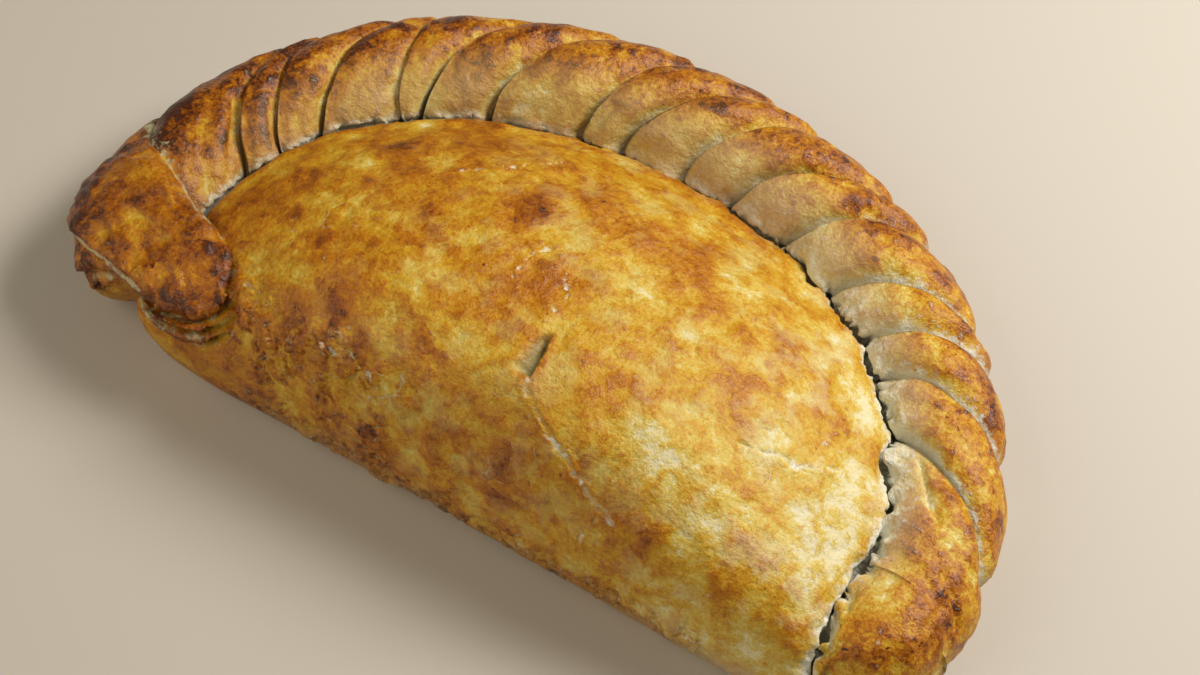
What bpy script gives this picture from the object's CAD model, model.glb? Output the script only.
"""A whole baked Cornish pasty: shortcrust folded over its filling and closed with a rope crimp.

Laid out as a Blender add-on. Shapes are worked out in millimetres, with Y measured from the folded
edge, and are set on the middle of their base at the end.
"""

import math

import bpy
import numpy as np
from bpy.props import FloatProperty, FloatVectorProperty, PointerProperty
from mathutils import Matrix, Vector, kdtree, noise
from mathutils.bvhtree import BVHTree


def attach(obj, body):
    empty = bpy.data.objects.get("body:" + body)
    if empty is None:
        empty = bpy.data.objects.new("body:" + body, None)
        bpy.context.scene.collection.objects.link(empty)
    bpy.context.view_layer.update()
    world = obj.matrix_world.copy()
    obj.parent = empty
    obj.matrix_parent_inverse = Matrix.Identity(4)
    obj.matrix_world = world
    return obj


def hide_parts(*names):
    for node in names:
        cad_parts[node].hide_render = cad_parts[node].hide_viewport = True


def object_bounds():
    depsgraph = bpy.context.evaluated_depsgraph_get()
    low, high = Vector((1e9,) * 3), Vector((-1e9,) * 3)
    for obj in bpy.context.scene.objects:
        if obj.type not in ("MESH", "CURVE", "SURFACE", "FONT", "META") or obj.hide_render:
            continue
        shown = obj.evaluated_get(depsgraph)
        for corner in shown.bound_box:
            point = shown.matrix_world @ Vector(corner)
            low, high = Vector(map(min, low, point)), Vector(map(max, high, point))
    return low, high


bl_info = {
    "name": "Cornish Pasty",
    "version": (1, 0, 0),
    "blender": (4, 5, 0),
    "location": "3D View > Sidebar > Pasty",
    "description": "Makes a whole baked Cornish pasty with a rope crimp",
    "category": "Add Mesh",
}

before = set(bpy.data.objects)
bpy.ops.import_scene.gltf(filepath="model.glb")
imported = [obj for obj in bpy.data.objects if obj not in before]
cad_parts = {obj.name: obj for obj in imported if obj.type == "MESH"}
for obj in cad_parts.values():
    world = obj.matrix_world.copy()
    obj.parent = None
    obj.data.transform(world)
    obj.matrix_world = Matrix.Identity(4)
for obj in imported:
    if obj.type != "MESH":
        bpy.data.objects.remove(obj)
CAD_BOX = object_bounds()
MM = 0.001

# ---- Shapes, in millimetres and degrees --------------------------------------------------------
# The body. A squareness of 2 gives an ellipse, and more a squarer outline.
BODY_MIDDLE = (3.3, 25.7)
BODY_HALF_LENGTH = 79
BODY_BACK = 61.8  # from the middle to the back, under the crimp
BACK_SQUARENESS = 2.16
FRONT_SQUARENESS = 12
TOP_SQUARENESS = 2.1
BULGE_LEVEL = 12  # height of the body's widest line
DOME_ACROSS = 2.25
DOME_STEEPNESS = (2.1, 1.18)  # along the folded edge, and at the back
BASE_TUCK = 4  # how far the lower edge draws in at the front
BASE_SPREAD = 7  # how far it runs out under the crimp
LUMP_HEIGHT = 0.9

# The crimp. Places along it are angles round its middle, from the plain end back to the tongue.
# Places round it are angles from its underside, up the side that faces the body, and over.
CRIMP_MIDDLE = (1.8, 23.3)
CRIMP_THINNING = 1.5  # how much narrower it is at the plain end
THINNED_WITHIN = 60
CRIMP_LEVEL = 12.2  # height of its middle line
CRIMP_TURN_IN = 6  # how far the plain end turns in to the corner of the body
TURNED_IN = (4, 18)  # where that starts, and over how much of an angle
MM_A_DEGREE = 1.45  # along the crimp's middle line
RING_CROWDING = 0.86
ROUND_CROWDING = 0.49
LIP_WALL = 0.35  # width of the upright edge of each fold
LIP_DROP = 0.38  # how far the lip lies below the crown, as a share of the crease depth
LIP_ROUNDING = 5.5
LIP_SHARE = 0.5  # of a narrow fold, at most
ROLL_WIDTH = 6.8  # how far from the next fold a fold starts to roll down
ROLL_SHARE = 0.62  # of a narrow fold, at most
ROLL_POWER = 1.9
UNDERCUT = 0.55  # how far the foot of a crease runs under the next fold
LEAN = 0.45  # how far each lip leans out over the fold before
# Where each crease starts at the valley, how far it sweeps along by the outer edge, and its share
# of the crease depth.
CREASES = [
    (195, 0, 0.6), (181, 10, 1), (166, 14, 1), (158, 11, 0.7), (149.5, 12.5, 1), (136, 6, 0.6),
    (132, 14, 1.1), (120.5, 13, 1.2), (105, 9, 1.25), (98, 12, 1.3), (87, 9, 1.35),
    (78.5, 12.5, 1.3), (67.5, 9.5, 1.35), (56, 10, 1.3), (46, 7, 1.1), (38, 10, 1.3),
    (27.5, 14, 1.25), (4, 5, 0), (-14, 0, 0),
]  # fmt: skip
CREASES_START = (35, 80)  # where the creases deepen, round the crimp
CREASES_STOP = (288, 318)  # and where they run out
SWEEP_ARC = 125
SWEEP_POWER = 1.8
SWEEP_STOP = 242
SWEEP_RETURN = (300, 352)
WANDER = 0.9  # how far each crease strays from an even sweep
WANDER_ARC = 55
FOLD_STEP = 7.7  # sets the noise of each fold apart from the next

# The tongue: its front and back edges in space, from its root to its tip.
TONGUE = [
    ((-93, 14, 6), (-90, 36, 8)),
    ((-96.5, 11, 15), (-94.5, 37, 17)),
    ((-91, 7.5, 19), (-86.5, 31, 24)),
    ((-80.5, 5, 21), (-76, 25, 26.5)),
    ((-70, 1.8, 22.5), (-64, 21, 27.5)),
    ((-57, 0.5, 23.5), (-51, 16.5, 27)),
]
TONGUE_HALF_THICKNESS = (5.0, 3.6)
TONGUE_SQUARENESS = 0.7
TONGUE_BLUNTNESS = 0.42
PRESSED = (-60, 9, 13, 6)  # x, y, reach and depth of the corner pressed down under the tongue
LIP = {"at": (-62, 8.5, 20.5), "half": (12.5, 9.5, 3.4), "turn": 15}  # under the tongue's tip

# ---- Small helpers -----------------------------------------------------------------------------


def colour(text):
    """A colour from its sRGB hex digits, made linear."""
    channels = [int(text[i : i + 2], 16) / 255 for i in (1, 3, 5)]
    return (*(c / 12.92 if c <= 0.04045 else ((c + 0.055) / 1.055) ** 2.4 for c in channels), 1.0)


def lerp(a, b, t):
    return a + (b - a) * t


def smoothstep(x, low, high):
    t = np.clip((x - low) / (high - low), 0, 1)
    return t * t * (3 - 2 * t)


def bump(distance, reach):
    """1 at a place, and smoothly down to nothing a bit beyond its reach."""
    return np.exp(-((distance / reach) ** 2))


def swelling(distance, height, reach):
    """How high the skin swells at a distance, or how low it sinks where the height is negative."""
    return height * bump(distance, reach)


def points_of(piece):
    numbers = np.empty(len(piece.data.vertices) * 3)
    piece.data.vertices.foreach_get("co", numbers)
    return numbers.reshape(-1, 3) / MM


def normals_of(piece):
    numbers = np.empty(len(piece.data.vertices) * 3)
    piece.data.vertex_normals.foreach_get("vector", numbers)
    return numbers.reshape(-1, 3)


def set_points(piece, points):
    piece.data.vertices.foreach_set("co", (points * MM).ravel())
    piece.data.update()


def values_of(piece, name):
    numbers = np.empty(len(piece.data.vertices))
    piece.data.attributes[name].data.foreach_get("value", numbers)
    return numbers


def set_values(piece, name, values):
    """Keeps a number for each vertex of a piece, under a name."""
    kept = piece.data.attributes.get(name) or piece.data.attributes.new(name, "FLOAT", "POINT")
    kept.data.foreach_set("value", np.asarray(values, np.float32))


def only(piece):
    """Selects this piece alone and makes it the active one."""
    bpy.ops.object.select_all(action="DESELECT")
    piece.select_set(True)
    bpy.context.view_layer.objects.active = piece


def found(name):
    piece = bpy.data.objects.get(name)
    if piece is None:
        raise RuntimeError(f"{name} has to be made first")
    return piece


def moulded_ball(name, around, along, place):
    """A ball with its skin moved: place gives points and notes for angles round it and shares of
    the way from its first pole to its last."""
    bpy.ops.object.select_all(action="DESELECT")
    bpy.ops.mesh.primitive_uv_sphere_add(segments=around, ring_count=along, radius=1)
    ball = bpy.context.object
    ball.name = ball.data.name = name
    x, y, z = (points_of(ball) * MM).T
    turn = np.arctan2(y, x) % (2 * math.pi)
    way = np.arctan2(np.hypot(x, y), z) / math.pi
    points, notes = place(turn, way)
    set_points(ball, np.stack(points, 1))
    for note, values in notes.items():
        set_values(ball, note, np.broadcast_to(values, way.shape))
    bpy.ops.object.mode_set(mode="EDIT")
    bpy.ops.mesh.select_all(action="SELECT")
    bpy.ops.mesh.normals_make_consistent(inside=False)
    bpy.ops.object.mode_set(mode="OBJECT")
    return ball


def smooth_path(stations, t):
    """Points and headings at shares t of the way along a smooth line through the stations."""
    stations = np.asarray(stations, float)
    last = len(stations) - 1
    slopes = np.gradient(stations, axis=0)
    at = np.clip(t * last, 0, last - 1e-9)
    i = np.floor(at).astype(int)
    u = (at - i)[:, None]
    a, b, m, n = stations[i], stations[i + 1], slopes[i], slopes[i + 1]
    points = (
        (2 * u**3 - 3 * u**2 + 1) * a
        + (u**3 - 2 * u**2 + u) * m
        + (3 * u**2 - 2 * u**3) * b
        + (u**3 - u**2) * n
    )
    headings = (
        (6 * u**2 - 6 * u) * (a - b) + (3 * u**2 - 4 * u + 1) * m + (3 * u**2 - 2 * u) * n
    )
    return points, headings


def apply_modifier(piece, kind, **settings):
    only(piece)
    modifier = piece.modifiers.new(kind.title(), kind)
    for key, value in settings.items():
        setattr(modifier, key, value)
    bpy.ops.object.modifier_apply(modifier=modifier.name)


# ---- Sizes and colours -------------------------------------------------------------------------


def size(name, default, description):
    """A size, given in millimetres."""
    return FloatProperty(
        name=name, description=description, default=default * MM, min=0, unit="LENGTH", precision=4
    )


def tint(name, default, description):
    """A colour, given as sRGB hex digits."""
    return FloatVectorProperty(
        name=name,
        description=description,
        default=colour(default),
        subtype="COLOR",
        size=4,
        min=0,
        max=1,
    )


def power(name, default, description):
    """The power of a lamp, in watts."""
    return FloatProperty(
        name=name, description=description, default=default, min=0, unit="POWER"
    )


class PastySizes(bpy.types.PropertyGroup):
    """Sizes of the pasty"""

    length: size("Length", 205, "End to end, over the crimp")
    depth: size("Depth", 115, "From the folded edge to the outside of the crimp")
    height: size("Height", 44, "Board to the top of the dome")
    crimp_width: size("Crimp half width", 14.2, "Half the width of the rope crimp")
    crimp_height: size("Crimp half height", 13.1, "Half the height of the rope crimp")
    crease_depth: size("Crease depth", 3.3, "How deep the creases between the folds run")
    grain: size("Grain", 1.0, "Size of the faces of the finished skin")


class PastyColours(bpy.types.PropertyGroup):
    """Colours of the baked crust"""

    dough: tint("Pale dough", "#b6a563", "Dough that the heat did not reach, in the creases")
    dusted: tint("Dusted dough", "#ecebd9", "Floured dough, where the folds meet the body")
    floury: tint("Floury", "#e9dcae", "Where flour is left on the crust")
    cream: tint("Cream", "#dcc25c", "The palest baked crust")
    golden: tint("Golden", "#d09f1e", "Most of the crust")
    amber: tint("Amber", "#ba7302", "Well baked crust")
    brown: tint("Brown", "#8c4700", "The crowns of the folds")
    crease: tint("Crease", "#3b2b10", "The damp dough at the bottom of the creases")
    burnt: tint("Burnt", "#4a1f02", "The few burnt spots")


class StageSettings(bpy.types.PropertyGroup):
    """The floor, the camera and the lights"""

    floor: tint("Floor", "#cdc6ba", "Colour of the floor")
    lens: FloatProperty(
        name="Lens", description="Focal length", default=67.18, min=10, unit="CAMERA"
    )
    key: power("Key light", 3.75, "Power of the light from behind on the right")
    fill: power("Fill light", 2.4, "Power of the wide light from the front on the left")


# ---- The body ----------------------------------------------------------------------------------


def body_reach(angle, up):
    """From the body's middle to its outline, at a share of the way up from the widest line."""
    back = np.sin(angle) > 0
    squareness = lerp(np.where(back, BACK_SQUARENESS, FRONT_SQUARENESS), TOP_SQUARENESS, up)
    across = np.abs(np.cos(angle)) / BODY_HALF_LENGTH
    deep = np.abs(np.sin(angle)) / np.where(back, BODY_BACK, BODY_MIDDLE[1])
    return (across**squareness + deep**squareness) ** (-1 / squareness)


def body_points(turn, way, height):
    """The body's skin: a dome above its widest line, and a rounded edge and flat base below."""
    rise = math.pi * (0.5 - way)
    up = np.clip(np.sin(rise), 0, 1)
    reach = body_reach(turn, np.sqrt(up)) * np.clip(np.cos(rise), 0, 1) ** (2 / DOME_ACROSS)
    x = BODY_MIDDLE[0] + reach * np.cos(turn)
    y = BODY_MIDDLE[1] + reach * np.sin(turn)
    steepness = lerp(*DOME_STEEPNESS, smoothstep(np.sin(turn), -0.8, 1))
    dome = (height - LUMP_HEIGHT - BULGE_LEVEL) * up ** (2 / steepness)
    lumps = LUMP_HEIGHT * (
        np.sin(x / 21 + 0.6) * np.sin(y / 16 + 0.9) + 0.5 * np.sin(x / 9.5 - y / 14)
    )
    pressed = PRESSED[3] * bump(np.hypot(x - PRESSED[0], y - PRESSED[1]), PRESSED[2])
    top = BULGE_LEVEL + dome + (lumps - pressed) * up

    # Below the widest line, four fifths of the way are the lower edge. The rest is the flat base.
    edge = np.clip((way * 2 - 1) * 1.25, 0, 1) * math.pi / 2
    base_way = np.clip((way * 2 - 1) * 5 - 4, 0, 1)
    behind = smoothstep(np.sin(turn), -0.3, 0.4)
    tuck = BASE_TUCK * (1 - behind) * (1 - np.cos(edge))
    spread = BASE_SPREAD * behind * np.sin(edge)
    low = (body_reach(turn, 0) - tuck + spread) * (1 - base_way)
    above = rise >= 0
    x = np.where(above, x, BODY_MIDDLE[0] + low * np.cos(turn))
    y = np.where(above, y, BODY_MIDDLE[1] + low * np.sin(turn))
    return (x, y, np.where(above, top, BULGE_LEVEL * (1 - np.sin(edge))))


class PASTY_OT_body(bpy.types.Operator):
    """Moulds the filled body, a dome that is steep along the fold"""

    bl_idname = "pasty.body"
    bl_label = "Body"

    def execute(self, context):
        height = context.scene.pasty_sizes.height / MM
        moulded_ball(
            "body", 300, 150, lambda turn, way: (body_points(turn, way, height), {"kind": 0})
        )
        return {"FINISHED"}


# ---- The rope crimp ----------------------------------------------------------------------------


def crimp_rings():
    """The fold of each ring of points along the crimp, and its share of the way over that fold.
    The rings stand close together at the creases."""
    folds, parts = [], []
    for i, (this, after) in enumerate(zip(CREASES[:-1], CREASES[1:])):
        width = (this[0] - after[0]) * MM_A_DEGREE
        count = round(width / 1.3) + 10
        share = np.arange(count) / count
        folds += [i] * count
        parts += list(share - RING_CROWDING * np.sin(2 * math.pi * share) / (2 * math.pi))
    return np.array(folds + [len(CREASES) - 2]), np.array(parts + [1.0])


def crease_line(fold, roundness, relief):
    """Where the crease before each fold runs, as an angle along the crimp, and how deep it is."""
    start, swept, depth = np.array(CREASES)[fold].T
    sweep = np.clip((np.minimum(roundness, SWEEP_STOP) - 90) / SWEEP_ARC, 0, None) ** SWEEP_POWER
    sweep = sweep * (1 - smoothstep(roundness, *SWEEP_RETURN))
    place = np.stack([roundness / WANDER_ARC, fold * FOLD_STEP, 0 * roundness], 1)
    return start - swept * sweep + WANDER * ripple(place, 1, 2, 21) * relief, depth


def crimp_points(turn, way, sizes, rings):
    """The crimp's skin, with the fold of each point and its distance from the creases."""
    half_width, half_height = sizes.crimp_width / MM, sizes.crimp_height / MM
    reach_x = sizes.length / MM / 2 - half_width + CRIMP_THINNING / 2
    reach_y = sizes.depth / MM - half_width - CRIMP_MIDDLE[1]
    # Points stand closer together on the upper side.
    turn = turn + ROUND_CROWDING * np.sin(turn)
    roundness = np.degrees(turn)
    ring = np.rint(way * (len(rings[0]) - 1)).astype(int)
    fold, part = rings[0][ring], rings[1][ring]
    relief = smoothstep(roundness, *CREASES_START) * (1 - smoothstep(roundness, *CREASES_STOP))
    start, start_depth = crease_line(fold, roundness, relief)
    end, end_depth = crease_line(fold + 1, roundness, relief)
    width = (start - end) * MM_A_DEGREE
    own, following = part * width, (1 - part) * width  # mm from its own crease, and to the next

    # Each fold lies over the one before: an upright lip at its own crease, then a broad back that
    # rolls down under the lip of the next.
    wall = np.clip(1 - own / LIP_WALL, 0, 1)
    rounding = np.minimum(LIP_ROUNDING, width * LIP_SHARE)
    rise = LIP_DROP * np.clip(1 - own / rounding, 0, 1) ** 2
    rolling = np.minimum(ROLL_WIDTH, width * ROLL_SHARE)
    roll = np.clip(1 - following / rolling, 0, 1) ** ROLL_POWER
    fall = np.maximum(roll, np.maximum(wall, rise * (1 - wall)))
    depth = lerp(start_depth, end_depth, part**2) * relief
    carve = sizes.crease_depth / MM * depth * fall
    shift = UNDERCUT * np.maximum(roll**5, wall) - LEAN * bump(own - LIP_WALL, 0.7) * (1 - wall)
    angle = np.radians(lerp(start, end, part) - shift * depth / MM_A_DEGREE)

    # The crimp is rounded off at both ends, and thinner at the plain one.
    total = len(CREASES) - 1
    from_end = np.clip(np.minimum(fold + part, total - fold - part) * 1.2, 0, 1)
    rounding = np.sqrt(1 - (1 - from_end) ** 2)
    thinning = CRIMP_THINNING * (1 - smoothstep(angle, 0, math.radians(THINNED_WITHIN)))
    half_width = (half_width - thinning - carve) * rounding
    half_height = (half_height - thinning / 2 - carve) * rounding

    outward = np.stack([np.cos(angle) * reach_y, np.sin(angle) * reach_x])
    outward /= np.linalg.norm(outward, axis=0)
    across = -np.sin(turn) * half_width
    turned, over = TURNED_IN
    turn_in = CRIMP_TURN_IN * np.clip((turned - np.degrees(angle)) / over, 0, 1) ** 2
    points = (
        CRIMP_MIDDLE[0] + reach_x * np.cos(angle) - turn_in + outward[0] * across,
        CRIMP_MIDDLE[1] + reach_y * np.sin(angle) + outward[1] * across,
        np.maximum(0, CRIMP_LEVEL - np.cos(turn) * half_height),
    )
    own, following = own / np.maximum(depth, 0.02), following / np.maximum(depth, 0.02)
    notes = {"kind": 1, "round": roundness, "fold": fold, "part": part}
    return points, notes | {"own": own, "following": following}


class PASTY_OT_crimp(bpy.types.Operator):
    """Moulds the rope crimp, a row of folds each laid over the last"""

    bl_idname = "pasty.crimp"
    bl_label = "Rope crimp"

    def execute(self, context):
        sizes, rings = context.scene.pasty_sizes, crimp_rings()
        moulded_ball(
            "crimp", 80, len(rings[0]) - 1, lambda turn, way: crimp_points(turn, way, sizes, rings)
        )
        return {"FINISHED"}


# ---- The tongue --------------------------------------------------------------------------------


def tongue_points(turn, way):
    """The tongue's skin, a flat strip between its front and back edges."""
    along = (1 - np.cos(way * math.pi)) / 2
    blunt = (np.sin(way * math.pi) ** TONGUE_BLUNTNESS)[:, None]
    front, front_heading = smooth_path([s[0] for s in TONGUE], along)
    back, back_heading = smooth_path([s[1] for s in TONGUE], along)
    broad = (back - front) / 2
    thick = np.cross(broad, front_heading + back_heading)
    thick /= np.linalg.norm(thick, axis=1, keepdims=True)
    half = lerp(*TONGUE_HALF_THICKNESS, along)[:, None]
    c, s = np.cos(turn)[:, None], np.sin(turn)[:, None]
    c, s = (np.sign(v) * np.abs(v) ** TONGUE_SQUARENESS for v in (c, s))
    points = (front + back) / 2 + broad * blunt * c + thick * blunt * half * s
    return points.T, {"kind": 2, "part": along, "round": np.degrees(turn)}


def lip_points(turn, way, at, half, turned):
    """The lip's skin, a flattened ball turned in plan."""
    x = half[0] * np.sin(way * math.pi) * np.cos(turn)
    y = half[1] * np.sin(way * math.pi) * np.sin(turn)
    c, s = math.cos(math.radians(turned)), math.sin(math.radians(turned))
    z = half[2] * np.cos(way * math.pi)
    return (at[0] + x * c - y * s, at[1] + x * s + y * c, at[2] + z), {"kind": 3}


class PASTY_OT_tongue(bpy.types.Operator):
    """Moulds the broad tongue at the left end, turned up over the corner, and its lip"""

    bl_idname = "pasty.tongue"
    bl_label = "Tongue"

    def execute(self, context):
        moulded_ball("tongue", 120, 90, tongue_points)
        moulded_ball("lip", 60, 40, lambda turn, way: lip_points(turn, way, *LIP.values()))
        return {"FINISHED"}


# ---- One skin ----------------------------------------------------------------------------------

PARTS = ("body", "crimp", "tongue", "lip")
BASE_CUT = 0.15  # taken off the underside, to leave it flat
CUTTING_ROOM = 600  # side of the cube that cuts it, with room for the whole pasty
SLIVER = 0.04  # corners closer than this are made one
NOTES = ("kind", "round", "fold", "part", "own", "following")
# Finer faces, in two rounds: how near to a seam or a split, the least area of a face that is cut,
# in square millimetres, and how flaked the crust has to be.
FINE_ROUNDS = ((1.4, 0.12, 0.55), (0.6, 0.06, 9))
FINE_ABOVE = 2  # no finer faces below this height
SEAM_SLANT = 1.2  # the way along the skin to a seam, against the way straight to the other dough


def tree_of(points):
    tree = kdtree.KDTree(len(points))
    for i, point in enumerate(points):
        tree.insert(point, i)
    tree.balance()
    return tree


def tree_of_faces(piece):
    faces = [tuple(f.vertices) for f in piece.data.polygons]
    return BVHTree.FromPolygons([tuple(p) for p in points_of(piece)], faces)


def seam_distance(points, shells):
    """About how far points on the skin are from the seam where two shells meet."""
    ways = [[shell.find_nearest(p)[3] for p in points] for shell in shells]
    return np.maximum(*ways) * SEAM_SLANT


def cut_in_four(piece, wanted, least):
    """Cuts each face with a wanted corner in four, where it is larger than the least area."""
    corners = np.empty(len(piece.data.loops), int)
    piece.data.loops.foreach_get("vertex_index", corners)
    starts = np.empty(len(piece.data.polygons), int)
    piece.data.polygons.foreach_get("loop_start", starts)
    areas = np.empty(len(starts))
    piece.data.polygons.foreach_get("area", areas)
    select_faces(piece, np.maximum.reduceat(wanted[corners], starts) & (areas > least * MM**2))
    bpy.ops.object.mode_set(mode="EDIT")
    bpy.ops.mesh.subdivide(number_cuts=1)
    bpy.ops.object.mode_set(mode="OBJECT")


def select_faces(piece, chosen):
    """Selects these faces of a piece, and nothing else."""
    only(piece)
    bpy.context.tool_settings.mesh_select_mode = (False, False, True)
    for items in (piece.data.vertices, piece.data.edges):
        items.foreach_set("select", np.zeros(len(items), bool))
    piece.data.polygons.foreach_set("select", chosen)


def join_parts(crust):
    """Joins the other parts to the body. Returns the points that all had, and their notes."""
    points, notes = [], []
    for name in PARTS:
        piece = found(name) if name != "body" else crust
        points.append(points_of(piece))
        known = piece.data.attributes
        nothing = np.zeros(len(points[-1]))
        notes.append([values_of(piece, note) if note in known else nothing for note in NOTES])
        if piece is not crust:
            apply_modifier(crust, "BOOLEAN", operation="UNION", solver="MANIFOLD", object=piece)
            bpy.data.objects.remove(piece)
    return np.concatenate(points), dict(zip(NOTES, np.concatenate(notes, 1)))


def flatten_base(crust):
    """Cuts the underside flat, and sets it on the board."""
    bpy.ops.object.select_all(action="DESELECT")
    bpy.ops.mesh.primitive_cube_add(size=1)
    room = bpy.context.object
    set_points(room, points_of(room) * MM * CUTTING_ROOM + [0, 0, CUTTING_ROOM / 2 + BASE_CUT])
    apply_modifier(crust, "BOOLEAN", operation="INTERSECT", solver="MANIFOLD", object=room)
    bpy.data.objects.remove(room)
    set_points(crust, points_of(crust) - [0, 0, BASE_CUT])
    bpy.ops.object.mode_set(mode="EDIT")
    bpy.ops.mesh.select_all(action="SELECT")
    bpy.ops.mesh.remove_doubles(threshold=SLIVER * MM)
    bpy.ops.object.mode_set(mode="OBJECT")
    apply_modifier(crust, "TRIANGULATE")


def refine(crust, shells):
    """Makes finer faces along the seams, the splits, the layers of the tongue and the vent."""
    tree = tree_of_faces(crust)
    paths = [dropped(tree, path) for path, *_ in CRACKS]
    paths += [np.array(edge, float) for edge, _ in LAYERS]
    for reach, least, flaked in FINE_ROUNDS:
        points = points_of(crust)
        near = (vent_place(points)[2] < reach) | (flaked_share(points) > flaked)
        for path in paths:
            near |= distance_to_path(points, path) < reach
        near |= seam_distance(points, shells) < reach
        near &= points[:, 2] > FINE_ABOVE
        cut_in_four(crust, near, least)


class PASTY_OT_skin(bpy.types.Operator):
    """Joins the dough into one closed piece with one even skin and a flat base"""

    bl_idname = "pasty.skin"
    bl_label = "Join the dough"

    def execute(self, context):
        crust = found("body")
        grain = context.scene.pasty_sizes.grain
        apply_modifier(crust, "REMESH", mode="VOXEL", voxel_size=grain, use_smooth_shade=True)
        apply_modifier(crust, "SMOOTH", factor=0.5, iterations=2)
        set_values(crust, "kind", np.zeros(len(crust.data.vertices)))
        shells = [tree_of_faces(found(name)) for name in ("body", "crimp")]
        points, notes = join_parts(crust)
        crust.name = crust.data.name = "pasty_crust"
        flatten_base(crust)
        refine(crust, shells)

        # Each point takes the notes of the nearest point before the parts were joined.
        nearest = tree_of(points)
        which = np.array([nearest.find(p)[1] for p in points_of(crust)])
        for name, values in notes.items():
            set_values(crust, name, values[which])
        set_values(crust, "to_valley", seam_distance(points_of(crust), shells))
        return {"FINISHED"}


# ---- Surface relief ----------------------------------------------------------------------------

# Splits in the crust, in plan: the points along each, its width and its depth.
CRACKS = [
    ([(12.1, 17.2), (14.6, 14.6), (16.4, 12.3), (19.2, 10.9), (23.4, 9.4), (28.9, 7.8), (33.3, 5.8),
      (37.3, 4.7), (40.4, 4.1)], 0.9, 0.15),
    ([(34.2, 4.5), (32.4, 2.6), (32.8, 0.9)], 0.5, 0.3),
    ([(-27.2, 54.0), (-22.5, 57.7), (-18.0, 61.7), (-15.0, 66.3), (-13.5, 69.7)], 0.7, 0.35),
    ([(-0.2, 45.8), (-2.2, 39.6), (-2.6, 34.2)], 0.5, 0.25),
    ([(5.6, 41.3), (9.2, 35.7), (8.2, 29.5)], 0.5, 0.25),
    ([(-50.3, 11.9), (-46.0, 10.0), (-41.3, 9.4)], 0.6, 0.3),
    ([(-28.1, 7.9), (-22.9, 6.1), (-16.8, 6.0)], 0.7, 0.4),
    ([(51.0, 29.1), (55.8, 30.3), (62.1, 32.9), (68.3, 38.0)], 1.0, 0.25),
]  # fmt: skip
# Soft furrows in the folds and the tongue: the points along each, its width and its depth.
FURROWS = [
    ([(-28.6, 87.9), (-31.0, 83.5), (-33.4, 79.1)], 1.8, 0.9),
    ([(-13.4, 91.0), (-15.2, 88.2), (-19.2, 87.8)], 1.5, 0.8),
    ([(-2.1, 89.0), (-4.5, 87.7), (-7.6, 88.1)], 1.5, 0.8),
    ([(79.6, 49.9), (83.4, 44.6), (85.5, 41.7), (88.3, 39.8)], 0.7, 1.2),
    ([(94.1, 30.7), (96.6, 28.5), (99.4, 26.5), (101.3, 24.3)], 0.7, 0.9),
    ([(-69.5, 57.1), (-69.3, 53.3), (-69.8, 50.2)], 1.2, 0.8),
    ([(-89.1, 44.1), (-85.0, 37.8), (-82.2, 34.6)], 0.9, 0.9),
    ([(-85.4, 42.8), (-80.3, 36.3), (-75.5, 30.8)], 0.9, 1.0),
    ([(-83.4, 52.0), (-79.0, 45.7), (-75.8, 39.3), (-73.9, 34.2)], 1.1, 0.9),
    ([(-75.3, 9.5), (-73.9, 11.2), (-72.4, 12.6)], 0.5, 0.8),
    ([(-86.2, 16.0), (-81.3, 14.8), (-77.2, 14.6), (-72.6, 12.9)], 0.9, 0.7),
    ([(-61.5, 15.4), (-57.3, 12.8)], 0.6, 0.6),
    ([(-94.4, 25.9), (-90.6, 25.8), (-87.7, 26.3)], 0.9, -0.5),
]  # fmt: skip
# The edges of the layers of dough at the tongue, in space, and how far each stands out over the
# layer below.
LAYERS = [
    ([(-92.7, 8.4, 20.7), (-87.8, 6.8, 22.2), (-83.4, 6.0, 23.1), (-78.3, 5.0, 24.1),
      (-73.9, 4.1, 24.9), (-70.7, 3.0, 24.6), (-67.9, 2.0, 22.5), (-63.0, 2.3, 23.0),
      (-59.8, 3.3, 23.1), (-57.2, 3.9, 24.1), (-55.2, 5.6, 25.0), (-53.3, 9.1, 27.4),
      (-53.3, 11.4, 28.4), (-55.3, 15.3, 28.8)], 1.4),
    ([(-70.7, 2.2, 21.8), (-65.9, 0.1, 21.9), (-61.0, 0.3, 22.1), (-56.1, 2.0, 21.9),
      (-54.0, 3.8, 23.2), (-51.8, 5.3, 25.6), (-50.5, 7.0, 27.5), (-50.2, 8.9, 28.8)], 1.3),
    ([(-59.5, -0.6, 20.0), (-57.7, 1.3, 17.6), (-54.0, 2.2, 20.8), (-50.8, 3.7, 24.2)], 1.6),
    ([(-92.0, 3.5, 12.0), (-87.0, 4.5, 16.2), (-82.6, 5.8, 17.1)], 1.0),
]  # fmt: skip
LAYER_UP = (0.0, 0.35, 0.94)  # up along the tongue's front
LAYER_OVER = (0.5, 2.4)  # height and reach of the swelling over a layer's edge
LAYER_UNDER = (-1.25, 1.3)  # and of the hollow under it
LAYER_END = 2.2  # how far past its end a layer still swells
TONGUE_HEADING = np.array([0.9, -0.42, 0.1])  # from the tongue's root to its tip
TONGUE_ACROSS = np.array([0.42, 0.9, 0.1])
# Where the crust has flaked: x, y, reach and strength.
FLAKED = [
    (-46.5, 5.5, 4, 0.8), (-40.5, 3.8, 4, 1), (-34.5, 4.5, 4, 1), (-28.5, 7.3, 4, 0.8),
    (-22.9, 6.1, 4, 0.7), (-17.0, 5.0, 4, 0.6), (-26.5, 1.2, 5, 0.7), (-14.0, 0.5, 5, 0.8),
    (-9.4, 5.2, 4, 0.6), (-50.0, 12.0, 4, 0.4), (4.0, 0.5, 5, 0.6), (-42.6, 33.8, 4, 0.4),
]  # fmt: skip
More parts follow.
